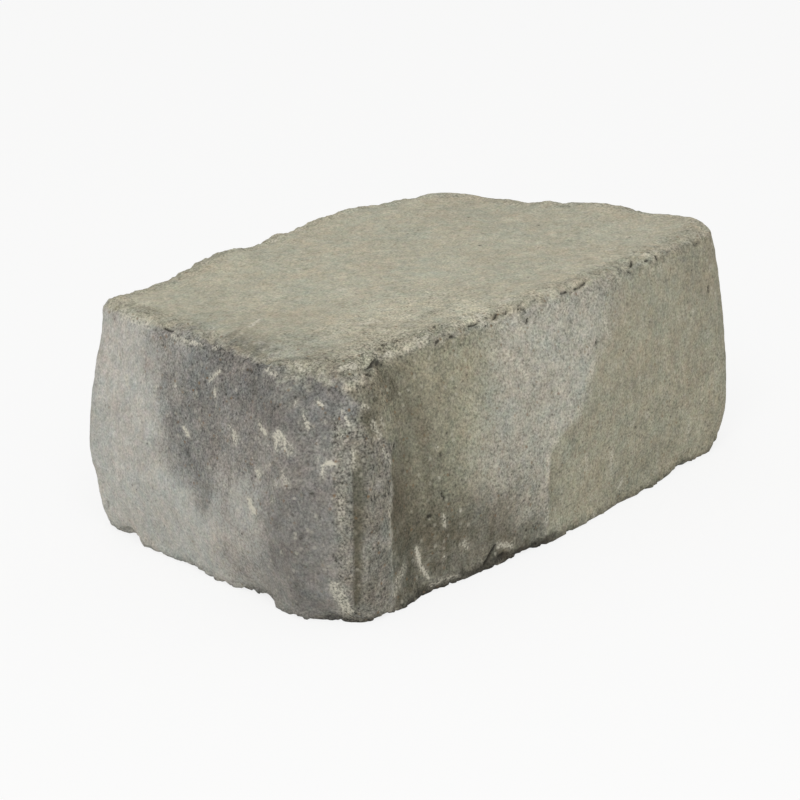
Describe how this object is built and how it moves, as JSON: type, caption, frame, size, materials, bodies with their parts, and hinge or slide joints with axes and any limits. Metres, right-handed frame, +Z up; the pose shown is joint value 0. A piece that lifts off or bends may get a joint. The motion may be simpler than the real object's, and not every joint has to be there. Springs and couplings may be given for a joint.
{
  "type": "garden wall block",
  "caption": "Solid tumbled concrete garden wall block with a tapered plan, bellied sides, worn edges and a cut front corner.",
  "frame": {"origin": "middle of the underside of the bounding box", "axes": "+X along the long front face, from its left end to its right end; the front face looks to -Y; +Z up from the underside"},
  "size_m": [0.305, 0.1949, 0.115],
  "materials": {
    "concrete": "rough weathered dry-cast concrete, grey with an olive tint"
  },
  "bodies": {
    "root": {"wall_block": "concrete"}
  },
  "joints": []
}
